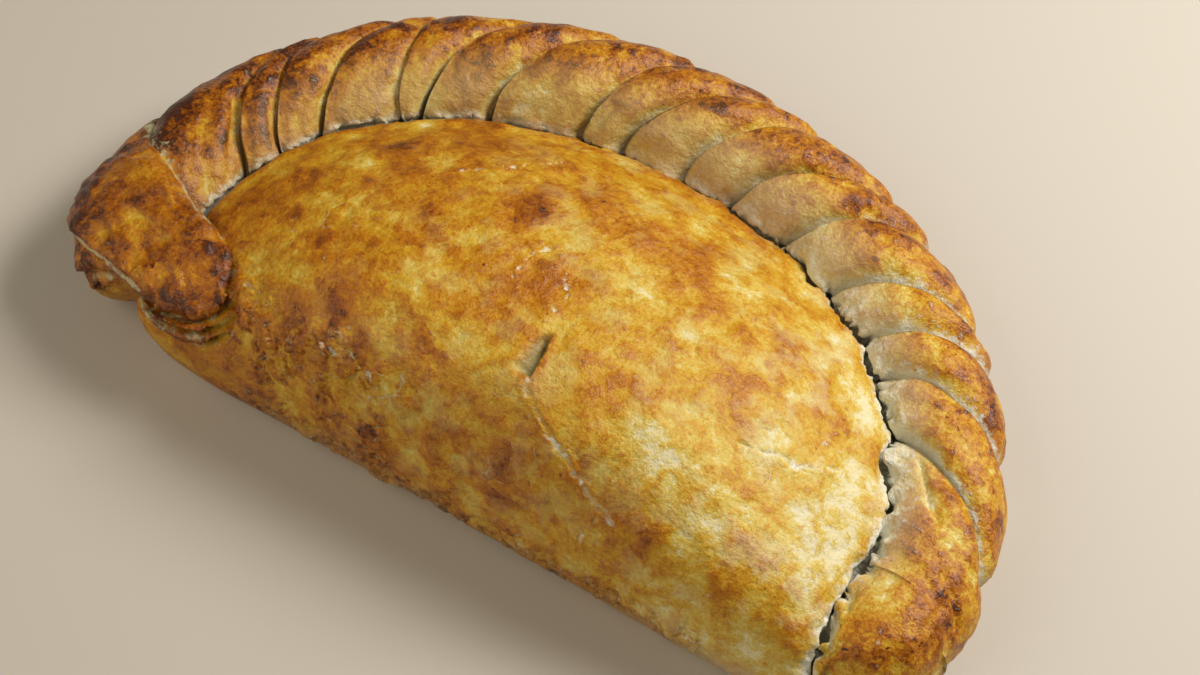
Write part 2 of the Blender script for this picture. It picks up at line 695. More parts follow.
# Little holes where a flake has lifted: x, y, z, reach and depth.
PITS = [
    (-13.5, 0.6, 19.3, 1.0, 1.2), (-14.8, 0.8, 20.4, 0.8, 1.0), (-11.6, 0.3, 17.4, 0.9, 1.1),
    (4.8, 2.6, 26.9, 0.9, 0.9), (5.6, 2.2, 25.9, 0.7, 0.8), (-20.9, 5.0, 30.5, 0.8, 0.8),
    (-27.0, 57.0, 37.0, 0.8, 0.6), (-37.0, 50.5, 38.5, 0.8, 0.6), (-36.2, 48.6, 39.0, 0.6, 0.5),
]  # fmt: skip
# The steam vent: a slanting cut, whose left side slopes and whose right side stands upright.
VENT = {"at": (11.5, 22.6), "turn": 6, "half_length": 5.4, "slope": 3.6, "wall": 0.3, "depth": 2.6}
VENT_ABOVE = 20  # the vent stays above this height
VENT_ENDS = 2.2  # over how much of its length it gets shallow at either end
# Low lumps all over: height, distance across and seed.
LUMPS = ((0.45, 17, 1), (0.42, 6.5, 2), (0.16, 2.8, 3))
# Beside the seam between the doughs: the shoulder of the body, the swelling near the board and the
# crumbs that lie in the valley towards its plain end, each with its height and reach.
SHOULDER = (0.7, 3.0)
SHOULDER_OFF = 5  # how far off the seam it is
LOW_SWELLING = (1.6, 3.5)
VALLEY_FILLING = (0.5, 3.0)
CRUMB_SIZE = 2.5
CRUMB_SOFTNESS = (0.25, 0.14)  # on the body, and on the folds
# Of two numbers, the first holds near the tongue and the second at the plain end.
BODY_CRUMBS = (0.5, 0.75)
FOLD_CRUMBS = (0.8, 1.7)
SLOT_DEPTH = (1.5, 2.8)
SLOT_REACH = (0.7, 0.95)
SLOT_RAGGEDNESS = (0.5, 0.8)
SLOT_WINDING = (0.8, 1.7)
DOWN_ROUNDS = 14  # of smoothing, for the direction in which the slot runs down
STREAK_HEIGHT = 0.28
STREAK_SIZE = 2.6
FOLD_WIDTH = 14  # of a common fold, for the length of its streaks
WRINKLE_HEIGHT = 0.55
WRINKLE_SIZE = (9, 2.6, 5)  # along the tongue, across it and up
FLAT_HEIGHT = 0.4
# Flakes: height, distance across, seed, and where in the noise a flake starts and is whole.
FLAKES = ((1.0, 4.0, 13, -0.05, 0.05), (0.5, 2.3, 14, 0.0, 0.08))
CAVITY_ROUNDS = 40  # of smoothing, for the even surface from which hollows are measured


def edges_of(piece):
    ends = np.empty(len(piece.data.edges) * 2, int)
    piece.data.edges.foreach_get("vertices", ends)
    return ends.reshape(-1, 2)


def smoothed(values, edges, rounds):
    """Values, one row a vertex, each drawn to the mean of its neighbours a number of times."""
    values = np.asarray(values, float)
    rows = values.reshape(len(values), -1)
    both = np.concatenate([edges[:, 0], edges[:, 1]])
    other = np.concatenate([edges[:, 1], edges[:, 0]])
    count = np.bincount(both, minlength=len(rows))[:, None]
    for _ in range(rounds):
        total = np.stack([np.bincount(both, c[other], len(rows)) for c in rows.T], 1)
        rows = 0.5 * rows + 0.5 * total / np.maximum(count, 1)
    return rows.reshape(values.shape)


def ripple(points, scale, octaves=3, seed=0):
    """Even, seeded noise of about -1 to 1 at each point, with swells of the given size."""
    offset = Vector((seed * 17.3, seed * 7.1, seed * 11.9))
    return np.array(
        [noise.fractal(Vector(p) / scale + offset, 1.0, 2.0, octaves) for p in points]
    )


def distance_to_path(points, path):
    """How far each point is from a line of straight stretches."""
    nearest = np.full(len(points), 1e9)
    for a, b in zip(path[:-1], path[1:]):
        along = b - a
        t = np.clip((points - a) @ along / (along @ along), 0, 1)
        nearest = np.minimum(nearest, np.linalg.norm(points - a - t[:, None] * along, axis=1))
    return nearest


def beside_path(points, path, up):
    """How far each point is past the ends of a line, and how far above the line it is. Away from
    the line, both are large."""
    nearest = np.full(len(points), 1e9)
    above, away = np.full(len(points), 99.0), np.full(len(points), 99.0)
    for a, b in zip(path[:-1], path[1:]):
        along = b - a
        t = np.clip((points - a) @ along / (along @ along), 0, 1)
        offset = points - a - t[:, None] * along
        distance = np.linalg.norm(offset, axis=1)
        height = offset @ np.array(up)
        closer = distance < nearest
        nearest = np.where(closer, distance, nearest)
        above = np.where(closer, height, above)
        away = np.where(closer, np.sqrt(np.maximum(distance**2 - height**2, 0)), away)
    return away, above


def dropped(tree, path):
    """A path in plan, laid on the top of the skin."""
    laid = []
    for x, y in path:
        hit = tree.ray_cast(Vector((x, y, 100)), Vector((0, 0, -1)))[0]
        laid.append(hit if hit else Vector((x, y, 0)))
    return np.array(laid)


def vent_place(points):
    """For each point: how far along the vent it is, how far across, and its distance from it."""
    turn = math.radians(VENT["turn"])
    x, y = points[:, 0] - VENT["at"][0], points[:, 1] - VENT["at"][1]
    along = y * math.cos(turn) - x * math.sin(turn)
    across = x * math.cos(turn) + y * math.sin(turn)
    beyond = np.maximum(np.abs(along) - VENT["half_length"], 0)
    aside = np.maximum(np.maximum(-slope_width(along) - across, across - VENT["wall"]), 0)
    return along, across, np.where(points[:, 2] > VENT_ABOVE, np.hypot(beyond, aside), 99)


def flaked_share(points):
    """How far the crust has flaked at each point: along the front edge and in some places above."""
    x, y, z = points.T
    edge = (y < 10) * (x < 60) * smoothstep(x, -52, -40)
    flaked = 0.7 * edge * bump(z - 9, 8) * smoothstep(z, 2, 6)
    for px, py, reach, strength in FLAKED:
        flaked = np.maximum(flaked, strength * bump(np.hypot(x - px, y - py), reach) * (z > 5))
    return flaked


def slope_width(along):
    """How wide the sloping side of the vent is: it is narrow at the far end."""
    return VENT["slope"] * (1 - 0.45 * np.clip(along / VENT["half_length"], -1, 1))


class Skin:
    """The points of the crust, with what is known of each."""

    def __init__(self, piece):
        self.points = points_of(piece)
        self.x, self.y, self.z = self.points.T
        for note in (*NOTES, "to_valley"):
            setattr(self, note, values_of(piece, note))
        self.is_body, self.is_crimp, self.is_tongue, self.is_lip = (
            self.kind == PARTS.index(part) for part in PARTS
        )
        self.to_crease = np.minimum(self.own, self.following)
        # Where the plain end of the crimp lies tight against the body.
        self.tight = smoothstep(self.x, 50, 60) * (1 - smoothstep(self.y, 12, 38))


def seam_relief(skin, plain_end, high):
    """The doughs press against each other, so that each swells and crumbles beside the seam."""
    beside = skin.to_valley
    lift = skin.is_body * swelling(beside - SHOULDER_OFF, *SHOULDER)
    lift += (1 - high) * swelling(beside, *LOW_SWELLING)
    lift += plain_end * high * (1 - skin.tight) * swelling(beside, *VALLEY_FILLING)
    on_body, on_folds = lerp(*BODY_CRUMBS, plain_end), lerp(*FOLD_CRUMBS, plain_end)
    softness = np.where(skin.is_body, *CRUMB_SOFTNESS)
    crumbs = smoothstep(ripple(skin.points, CRUMB_SIZE, 3, 4), -softness, softness) - 0.5
    banks = bump(beside - 1.6, 1.5 + 1.5 * plain_end) * smoothstep(beside, 0.1, 0.8)
    return lift + np.where(skin.is_body, on_body, on_folds) * crumbs * banks


def valley_move(skin, down, plain_end, high):
    """The valley is a torn slot that winds between the doughs. It runs straight down, so that its
    sides do not fold over each other."""
    ragged = lerp(*SLOT_RAGGEDNESS, plain_end) * ripple(skin.points, 4.5, 3, 12) + 0.1
    reach = lerp(*SLOT_REACH, plain_end) * (1 - 0.45 * skin.tight)
    slot = lerp(*SLOT_DEPTH, plain_end) * bump(skin.to_valley + ragged * high, reach)
    middle_x, middle_y = BODY_MIDDLE
    outward = np.stack([skin.x - middle_x, skin.y - middle_y, 0 * skin.z], 1)
    outward /= np.linalg.norm(outward, axis=1, keepdims=True)
    winding = lerp(*SLOT_WINDING, plain_end) * ripple(skin.points, 9, 3, 16)
    winding *= bump(skin.to_valley, 4) * high
    return outward * winding[:, None] - down * slot[:, None]


def streaks_of(skin):
    """The folds are drawn out along their length, which leaves long low ridges."""
    along = (skin.fold + skin.part) * FOLD_WIDTH / STREAK_SIZE
    place = np.stack([along, np.radians(skin.round), skin.fold * FOLD_STEP], 1)
    return ripple(place, 1.0, 2, 7)


def wrinkles_of(skin):
    """The tongue is wrinkled along its length."""
    along = skin.points @ TONGUE_HEADING
    across = skin.points @ TONGUE_ACROSS + 0.15 * along
    place = np.stack([along, across, skin.z], 1) / WRINKLE_SIZE
    return np.abs(ripple(place, 1.0, 3, 18))


def split_relief(skin, tree):
    """Splits, furrows and small pits, and how near each point is to a split."""
    points = skin.points
    lift, crack = np.zeros((2, len(points)))
    wander = 1.3 * np.stack([ripple(points, 4.5, 3, seed) for seed in (8, 9, 10)], 1)
    rough = ripple(points, 1.3, 2, 11)
    for path, width, depth in CRACKS:
        away = distance_to_path(points + wander, dropped(tree, path)) + 0.7 * rough
        lift += -depth * bump(away, width * 0.5) + 0.15 * bump(away - width * 1.3, width * 0.6)
        crack = np.maximum(crack, bump(away, width))
    for path, width, depth in FURROWS:
        lift -= depth * bump(distance_to_path(points, dropped(tree, path)), width)
    for *place, reach, depth in PITS:
        lift -= depth * bump(np.linalg.norm(points - place, axis=1) + 0.3 * rough, reach)
    return lift, crack


def layer_relief(points):
    """The edges of the layers under the tongue stand out over the dough below."""
    lift = np.zeros(len(points))
    for path, overhang in LAYERS:
        past, above = beside_path(points, np.array(path, float), LAYER_UP)
        over, under = swelling(above, *LAYER_OVER), swelling(above, *LAYER_UNDER)
        lift += overhang * bump(past, LAYER_END) * np.where(above > 0, over, under)
    return lift


def vent_relief(points):
    """How deep the vent is at each point, and 1 over its sloping side."""
    along, across, _ = vent_place(points)
    ends = 1 - smoothstep(np.abs(along), VENT["half_length"] - VENT_ENDS, VENT["half_length"])
    ends *= points[:, 2] > VENT_ABOVE
    across = across + 0.35 * ripple(points, 2.2, 2, 17)
    share = across / slope_width(along)
    wall = 1 - np.clip(across / VENT["wall"], 0, 1)
    depth = np.where(across < 0, smoothstep(share, -1.1, 0) ** 0.9, wall) * VENT["depth"]
    return depth * ends, smoothstep(share, -1, -0.4) * (across < VENT["wall"]) * ends


class PASTY_OT_relief(bpy.types.Operator):
    """Raises the baked surface: lumps, splits, the steam vent and crumbly creases"""

    bl_idname = "pasty.relief"
    bl_label = "Surface relief"

    def execute(self, context):
        crust = found("pasty_crust")
        skin, normals, edges = Skin(crust), normals_of(crust), edges_of(crust)
        points = skin.points
        plain_end = smoothstep(skin.x, 10, 70)
        high = smoothstep(skin.z, 8, 17)
        streaks, wrinkles = streaks_of(skin), wrinkles_of(skin)
        flaked = skin.is_body * flaked_share(points)
        flakes = [ripple(points, across, 4, seed) for _, across, seed, _, _ in FLAKES]
        splits, crack = split_relief(skin, tree_of_faces(crust))

        lift = sum(height * ripple(points, across, 2, seed) for height, across, seed in LUMPS)
        lift += seam_relief(skin, plain_end, high)
        lift += STREAK_HEIGHT * skin.is_crimp * streaks
        flat = FLAT_HEIGHT * smoothstep(ripple(points, 9, 2, 19), -0.05, 0.05)
        lift += skin.is_tongue * (WRINKLE_HEIGHT * wrinkles - 0.15 + flat)
        lift += splits + layer_relief(points)
        for noise_of_flakes, (height, _, _, start, whole) in zip(flakes, FLAKES):
            lift += height * flaked * smoothstep(noise_of_flakes, start, whole)
        lift *= np.where(skin.is_crimp, smoothstep(skin.to_crease, 0.1, 1.8), 1)

        down = smoothed(normals, edges, DOWN_ROUNDS)
        down /= np.linalg.norm(down, axis=1, keepdims=True)
        move = normals * lift[:, None] + valley_move(skin, down, plain_end, high)
        moved = points + move * smoothstep(skin.z, 0.3, 3)[:, None]
        vent_depth, vent = vent_relief(points)
        moved[:, 2] -= vent_depth
        set_points(crust, moved)
        only(crust)
        bpy.ops.object.shade_smooth()

        cavity = ((smoothed(moved, edges, CAVITY_ROUNDS) - moved) * normals_of(crust)).sum(1)
        streaks = np.where(skin.is_tongue, 0.35 - wrinkles * 1.6, streaks)
        for name, values in (
            ("cavity", cavity),
            ("crack", crack),
            ("flaked", flaked),
            ("flakes", flakes[0]),
            ("streaks", streaks),
            ("vent", vent),
        ):
            set_values(crust, name, values)
        return {"FINISHED"}


# ---- Crust -------------------------------------------------------------------------------------

# Well browned places on the top: x, y, reach and strength.
BROWNED = [
    (-64.9, 4.0, 1.8, 0.4), (-61.0, 5.5, 2.0, 0.25), (-90.4, 16.4, 1.5, 0.25),
    (-85.2, 20.0, 1.5, 0.2), (-82.4, 17.8, 1.5, 0.2), (-95.0, 26.2, 3.0, 0.15),
    (-57.5, 12.9, 2.0, 0.25), (-61.6, 15.4, 1.5, 0.2), (-75.0, 10.5, 1.2, 0.25),
    (-78.0, 42.9, 3.0, 0.3), (-98.0, 18.0, 4.0, 0.2), (-36.0, 49.8, 3, 0.25), (-41.1, 42.0, 2, 0.3),
    (-25.6, 40.1, 2.5, 0.3), (-22.0, 35.8, 2, 0.2), (-8.7, 32.3, 8, 0.25), (3.1, 33.8, 6, 0.3),
    (-7.5, 55.6, 6, 0.2), (-64.1, 26.9, 5, 0.2), (-40.0, 25.3, 4, 0.2), (-29.2, 12.7, 3, 0.2),
    (-38.5, 7.2, 4, 0.2), (-45.5, 55.9, 6, 0.2), (-32.8, 63.4, 8, 0.2), (-21.8, 67.5, 7, 0.2),
    (0.8, 62.5, 6, 0.25), (21.3, 58.2, 6, 0.25), (31.5, 51.3, 4, 0.2), (-7.9, 51.5, 5, 0.15),
    (25.5, 79.2, 6, 0.2), (15.4, 55.4, 5, 0.15), (46.2, 41.2, 6, 0.2), (14.7, 5.5, 4, 0.35),
    (19.2, 8.1, 3, 0.15), (28.8, 9.4, 1.3, 0.3), (43.6, 56.2, 1.5, 0.2), (27.7, 4.0, 6, 0.15),
    (39.4, 8.6, 6, 0.12), (64.7, 10.8, 8, 0.15), (43.1, 6.1, 5, 0.12), (60.1, 5.7, 3, 0.15),
    (74.5, 5.2, 4, 0.2), (44.9, 4.2, 1.5, 0.2),
]  # fmt: skip
# Pale places on the body.
PALED = [
    (-18.0, 28.0, 7, 0.2), (-18.7, 20.4, 6, 0.12), (-44.8, 43.6, 5, 0.15), (-42.6, 33.8, 4, 0.2),
    (-14.5, 38.4, 4, 0.15), (33.8, 61.8, 7, 0.2), (15.3, 44.9, 6, 0.15), (19.2, 53.1, 4, 0.1),
    (40.1, 27.4, 10, 0.15), (50.2, 19.3, 9, 0.15), (69.3, 36.3, 6, 0.2), (74.8, 27.8, 5, 0.2),
    (77.2, 21.6, 4, 0.2), (63.9, 55.4, 8, 0.15),
]  # fmt: skip
# Places with fine pale lines between the flakes: x, y and reach.
VEINED = [
    (10.8, 10.8, 6), (15.0, 5.5, 6), (-46.7, 31.0, 5), (-39.0, 28.5, 4), (-23.4, 8.0, 5),
    (-12.0, 7.0, 5), (10.4, 45.7, 4), (6.0, 38.0, 4), (57.0, 31.0, 7), (67.0, 37.0, 6),
    (-50.0, 22.0, 4), (24.0, 12.0, 4),
]  # fmt: skip
# Places with burnt dots.
DOTTED = [
    (-22.5, 57.7, 2.5), (-18.0, 61.7, 2.5), (-15.5, 65.5, 2), (-27.0, 57.0, 3), (-36.0, 50.5, 3.5),
    (-31.0, 53.0, 3), (-30.0, 46.5, 3), (-25.0, 49.0, 2.5), (-14.0, 2.0, 4), (5.0, 3.0, 3),
    (-22.0, 7.0, 3),
]  # fmt: skip
# The pale, crumbly line where the tongue lies against the first fold, in space.
TONGUE_SIDE = [
    (-95.8, 37.8, 20), (-84.8, 29.4, 24), (-75, 23.6, 26), (-67.4, 20.4, 27), (-62.2, 17.3, 26),
]  # fmt: skip
TONGUE_TIP = (-61, 7, 11)
# How far each part has baked, from 0 floury to 1 burnt. It gets less towards the plain end.
BODY_BAKE = 0.39
CRIMP_BAKE = 0.19
TONGUE_BAKE = 0.64
BAKE_FALL = 0.0013  # a millimetre
BAKE_RANGE = (0.1, 0.92)
DARKEST_SHADE = 0.8


class BakedSkin(Skin):
    """The skin once it has its relief, with the places that the oven treats alike."""

    def __init__(self, piece):
        super().__init__(piece)
        for note in ("cavity", "crack", "flaked", "flakes", "streaks", "vent"):
            setattr(self, note, values_of(piece, note))
        self.turned_up = self.is_tongue | self.is_lip
        self.plain_end = smoothstep(self.x, 30, 75)
        # The crowns and outer sides of the folds.
        crown = bump(np.maximum(205 - self.round, 0), 62)
        self.outer = crown * (0.75 + 0.25 * bump(self.round - 215, 40))
        # The lower front edge, and the first folds beside the tongue.
        front = self.is_body & (self.y < 10) & (self.x < 72)
        self.front = front * smoothstep(self.x, -55, -35) * bump(self.z - 1, 9)
        first = self.is_crimp & (self.x < -64)
        self.first = first * bump(np.maximum(-self.x - 70, 0) - 14, 16)

    def near(self, x, y, reach):
        """How near each point is to a place in plan."""
        return bump(np.hypot(self.x - x, self.y - y), reach)

    def near_any(self, places):
        """How near each point of the body is to the nearest of some places."""
        return self.is_body * np.max([self.near(*place) for place in places], axis=0)

    def beside_layers(self, below, reach):
        """How near each point is to a line that runs below the edge of a layer of the tongue."""
        found_near = np.zeros(len(self.points))
        for path, _ in LAYERS:
            past, above = beside_path(self.points, np.array(path, float), LAYER_UP)
            found_near = np.maximum(found_near, bump(past, 1.5) * bump(above + below, reach))
        return found_near


def baking(skin):
    """How far each point has baked, from 0 floury to 1 burnt."""
    bake = skin.is_body * (BODY_BAKE - BAKE_FALL * skin.x)
    bake -= 0.20 * skin.is_body * smoothstep(skin.x, 25, 60) * (skin.y < 20)
    bake -= 0.09 * skin.is_body * smoothstep(skin.x, 20, 70) * bump(skin.to_valley - 3, 8)
    bake += 0.16 * skin.front
    bake += 0.9 * sum(strength * skin.near(*place) for *place, strength in BROWNED)
    bake -= skin.is_body * sum(strength * skin.near(*place) for *place, strength in PALED)
    # The crimp browns on top and outside, and stays pale where the folds cover each other.
    covered = bump(skin.following, 2.2)
    folds = CRIMP_BAKE - BAKE_FALL * skin.x + 0.37 * skin.outer - 0.28 * covered
    folds -= 0.09 * smoothstep(skin.x, 60, 80) * (1 - smoothstep(skin.y, 15, 35))
    folds += 0.10 * skin.first + (0.10 + 0.16 * skin.first) * skin.streaks
    bake += skin.is_crimp * folds
    bake += skin.turned_up * (TONGUE_BAKE + 0.12 * skin.near(*TONGUE_TIP))
    bake += 0.16 * skin.is_tongue * skin.streaks
    # The edges of the flakes and all that stands out brown more than the hollows.
    bake += skin.flaked * (0.12 + 0.6 * bump(skin.flakes + 0.09, 0.06))
    bake -= 0.3 * np.clip(skin.cavity, -0.5, 0.5)
    return np.clip(bake + 0.12 * ripple(skin.points, 14, 2, 5), *BAKE_RANGE)


def paleness(skin):
    """Where bare crumbly dough shows: beside the valley, in the creases, at splits and layers."""
    on_folds = lerp(lerp(2.6, 7.5, smoothstep(skin.x, -20, 50)), 1.2, skin.tight)
    on_body = lerp(1.0, 3.0, skin.plain_end)
    pale = bump(skin.to_valley, np.where(skin.is_crimp, on_folds, on_body))
    pale *= np.where(skin.is_crimp, lerp(1.0, 0.85, skin.plain_end), 1)
    pale += skin.is_crimp * bump(skin.following, lerp(0.8, 2.4, skin.plain_end))
    tongue_side = distance_to_path(skin.points, np.array(TONGUE_SIDE, float))
    for other in (
        0.5 * skin.crack,
        0.5 * skin.flaked * bump(skin.flakes - 0.06, 0.045),
        0.8 * bump(tongue_side, 2.2),
        0.75 * skin.beside_layers(1.6, 0.9),
    ):
        pale = np.maximum(pale, other)
    return np.clip(pale, 0, 1)


def fading(skin):
    """How far the browning fades on the inner sides of the folds, in the vent and low in front."""
    start, end = lerp(125, 110, skin.plain_end), lerp(195, 185, skin.plain_end)
    inner = skin.is_crimp * (1 - smoothstep(skin.round, start, end))
    faded = lerp(0.5, 0.8, skin.plain_end) * inner * (1 - skin.tight) * (1 - 0.85 * skin.first)
    return faded + 0.7 * skin.vent + 0.35 * skin.front


def shading(skin):
    """Where damp dough darkens the bottom of the creases, the valley, the layers and the vent."""
    shade = 0.6 * skin.beside_layers(0.6, 0.4) + 0.38 * skin.vent
    shade += 0.65 * skin.is_crimp * bump(skin.to_crease, 0.35) + 0.5 * bump(skin.to_valley, 0.5)
    blotches = smoothstep(ripple(skin.points, 3, 3, 20), -0.3, 0.3)
    shade += lerp(0.15, 0.3, skin.plain_end) * bump(skin.to_valley, 1.5) * blotches
    return np.clip(shade, 0, DARKEST_SHADE)


def dusting(skin):
    """How much flour lies on the bare dough."""
    folds = 0.55 * smoothstep(skin.x, -30, 50)
    dusted = 0.15 + 0.85 * np.where(skin.is_crimp, folds, skin.plain_end)
    dusted += 0.5 * bump(skin.to_valley, 2) * (1 - skin.tight)
    return np.clip(np.maximum(dusted, 0.8 * skin.crack), 0, 1)


def patchiness(skin):
    """How strongly the patches and specks of browning show."""
    return np.where(skin.is_body, 0.92, np.where(skin.turned_up, 1.05, 1.0 + 0.5 * skin.outer))


class PASTY_OT_crust(bpy.types.Operator):
    """Browns the skin: pale in the creases, golden on the dome and brown on the crowns"""

    bl_idname = "pasty.crust"
    bl_label = "Baked crust"

    def execute(self, context):
        crust = found("pasty_crust")
        skin = BakedSkin(crust)
        for name, values in (
            ("bake", baking(skin)),
            ("pale", paleness(skin)),
            ("patchy", patchiness(skin)),
            ("veined", skin.near_any(VEINED)),
            ("dusted", dusting(skin)),
            ("faded", fading(skin)),
            ("dotted", skin.near_any(DOTTED)),
            ("hazed", skin.is_body * smoothstep(skin.x, -55, 5)),
            ("shade", shading(skin)),
        ):
            set_values(crust, name, values)
        crust.data.materials.clear()
        crust.data.materials.append(baked_shortcrust(context.scene.pasty_colours))
        return {"FINISHED"}


# ---- Materials ---------------------------------------------------------------------------------


def add_node(tree, kind, settings=None, **links):
    """Adds a node, sets its properties and inputs, and links sockets into it."""
    node = tree.nodes.new(kind)
    for key, value in (settings or {}).items():
        if hasattr(node, str(key)):
            setattr(node, key, value)
        else:
            node.inputs[key].default_value = value
    for key, source in links.items():
        name = int(key[1:]) if key[0] == "_" else key.replace("_", " ")
        tree.links.new(source, node.inputs[name])
    return node


# What the skin knows of each point, read from its attributes.
CRUST_NOTES = (
    "bake", "pale", "patchy", "flaked", "veined", "dusted", "faded", "dotted", "hazed", "shade",
)  # fmt: skip
# Swells of noise in the crust: the size of a swell in mm, its detail, roughness and distortion.
# The sand is flour and fine crumb, drawn as coarse as it has to be to show.
SWELLS = {
    "haze": (8.0, 5, 0.6, 0.1),
    "cloud": (13.0, 2, 0.5, 0.0),
    "patch": (4.2, 4, 0.55, 0.15),
    "fleck": (2.2, 5, 0.6, 0.1),
    "crumb": (0.85, 4, 0.6, 0.0),
    "sand": (0.36, 3, 0.55, 0.0),
}
# How the swells change the browning: the stretch of noise, and what it adds at either end of it.
BROWNING = (
    ("haze", 0.50, 0.60, 0.0, -0.08),
    ("cloud", 0.38, 0.62, -0.07, 0.07),
    ("patch", 0.53, 0.57, 0.0, 0.12),
    ("patch", 0.38, 0.45, -0.08, 0.0),
    ("fleck", 0.56, 0.60, 0.0, 0.12),
    ("fleck", 0.37, 0.43, -0.09, 0.0),
    ("crumb", 0.32, 0.68, -0.075, 0.075),
    ("sand", 0.28, 0.72, -0.05, 0.05),
)
# Flakes of different browning, and small specks, in mm. They lie on ground that wanders.
FLAKE_SIZE = 7.0
SPECK_SPACING = 2.4
GROUND_SWELL = 4.5
GROUND_WANDER = 5.0
# Masks cut from them: the source, its stretch, and what the mask is at either end of it.
MASKS = (
    ("tone", "flake tint", 0.0, 1.0, -0.09, 0.09),
    ("line", "flake edge", 0.01, 0.055, 1.0, 0.0),
    ("broken", "fleck", 0.42, 0.56, 0.0, 1.0),
    ("dot", "speck middle", 0.08, 0.16, 1.0, 0.0),
    ("few", "speck tint", 0.80, 0.82, 0.0, 0.32),
    ("many", "other speck tint", 0.35, 0.37, 0.0, 0.6),
    ("hazy", "haze", 0.50, 0.60, 0.0, 0.22),
)
# How masks, notes and browning are put together, in this order.
MIXES = (
    ("open", "ADD", "veined", "flaked"),
    ("open", "MULTIPLY", "open", "broken"),
    ("vein", "MULTIPLY", "line", "open"),
    ("many", "MULTIPLY", "many", "dotted"),
    ("hazy", "MULTIPLY", "hazy", "hazed"),
    ("few", "MAXIMUM", "few", "many"),
    ("specks", "MULTIPLY", "dot", "few"),
    ("mottle", "ADD", "mottle", "tone"),
    ("mottle", "ADD", "mottle", "specks"),
)
# Where the colours of the crust lie, from 0 floury to 1 burnt.
COLOUR_STOPS = (
    ("floury", 0.0),
    ("cream", 0.14),
    ("golden", 0.34),
    ("amber", 0.57),
    ("brown", 0.83),
    ("burnt", 1.0),
)
# Where bare dough breaks through: the share of each noise in its ragged edge, and its stretch.
RAGGED = (("crumb", 1.2), ("vein", 0.5))
RAGGED_FLECKS = (1.8, -0.9)
BARE = {"From Min": 0.95, "From Max": 1.4, "To Min": 0.0, "To Max": 1.0}
# The egg gives a low sheen: how rough the crust is where it is pale and where it is brown.
EGG_SHEEN = {"From Min": 0.1, "From Max": 0.7, "To Min": 0.58, "To Max": 0.33}
DOUGH_IOR = 1.45
# The relief that goes with the noise: strength of the bump, and its height in mm.
CRUST_RELIEF = (
    ("patch", 0.6, 1.2),
    ("fleck", 0.7, 0.7),
    ("crumb", 0.6, 0.35),
    ("sand", 0.5, 0.14),
    ("tone", 0.6, 1.5),
    ("vein", 0.5, -0.25),
)


def crust_patterns(tree):
    """The notes, noise and masks of the crust, as sockets under their names."""
    place = add_node(tree, "ShaderNodeTexCoord").outputs["Object"]
    found_at = {}
    for name in CRUST_NOTES:
        note = add_node(tree, "ShaderNodeAttribute", {"attribute_name": name})
        found_at[name] = note.outputs["Fac"]
    for name, (millimetres, detail, roughness, distortion) in SWELLS.items():
        settings = {"Scale": 1 / (millimetres * MM), "Detail": detail, "Roughness": roughness}
        settings["Distortion"] = distortion
        swell = add_node(tree, "ShaderNodeTexNoise", settings, Vector=place)
        found_at[name] = swell.outputs["Fac"]

    for name, low, high, least, most in BROWNING:
        settings = {"From Min": low, "From Max": high, "To Min": least, "To Max": most}
        settings["interpolation_type"] = "SMOOTHSTEP"
        added = add_node(tree, "ShaderNodeMapRange", settings, Value=found_at[name]).outputs[0]
        if "mottle" in found_at:
            links = {"_0": found_at["mottle"], "_1": added}
            added = add_node(tree, "ShaderNodeMath", {"operation": "ADD"}, **links).outputs[0]
        found_at["mottle"] = added

    settings = {"Scale": 1 / (GROUND_SWELL * MM), "Detail": 3}
    wander = add_node(tree, "ShaderNodeTexNoise", settings, Vector=place).outputs["Color"]
    centred = {"operation": "SUBTRACT", 1: (0.5, 0.5, 0.5)}
    wander = add_node(tree, "ShaderNodeVectorMath", centred, _0=wander).outputs[0]
    reach = {"operation": "MULTIPLY_ADD", 1: (GROUND_WANDER * MM,) * 3}
    ground = add_node(tree, "ShaderNodeVectorMath", reach, _0=wander, _2=place).outputs[0]
    cells = {}
    for name, millimetres, feature in (
        ("flake", FLAKE_SIZE, "F1"),
        ("edge", FLAKE_SIZE, "DISTANCE_TO_EDGE"),
        ("speck", SPECK_SPACING, "F1"),
    ):
        settings = {"feature": feature, "Scale": 1 / (millimetres * MM)}
        cells[name] = add_node(tree, "ShaderNodeTexVoronoi", settings, Vector=ground).outputs
    for name in ("flake", "speck"):
        tints = add_node(tree, "ShaderNodeSeparateColor", {}, Color=cells[name]["Color"]).outputs
        found_at[f"{name} tint"], found_at[f"other {name} tint"] = tints[0], tints[1]
    found_at["flake edge"] = cells["edge"]["Distance"]
    found_at["speck middle"] = cells["speck"]["Distance"]

    for name, source, low, high, least, most in MASKS:
        settings = {"From Min": low, "From Max": high, "To Min": least, "To Max": most}
        mask = add_node(tree, "ShaderNodeMapRange", settings, Value=found_at[source])
        found_at[name] = mask.outputs[0]
    for name, operation, first, second in MIXES:
        links = {"_0": found_at[first], "_1": found_at[second]}
        mix = add_node(tree, "ShaderNodeMath", {"operation": operation}, **links)
        found_at[name] = mix.outputs[0]
    links = {"_0": found_at["mottle"], "_1": found_at["patchy"], "_2": found_at["bake"]}
    browning = add_node(tree, "ShaderNodeMath", {"operation": "MULTIPLY_ADD"}, **links)
    return found_at | {"browning": browning.outputs[0]}


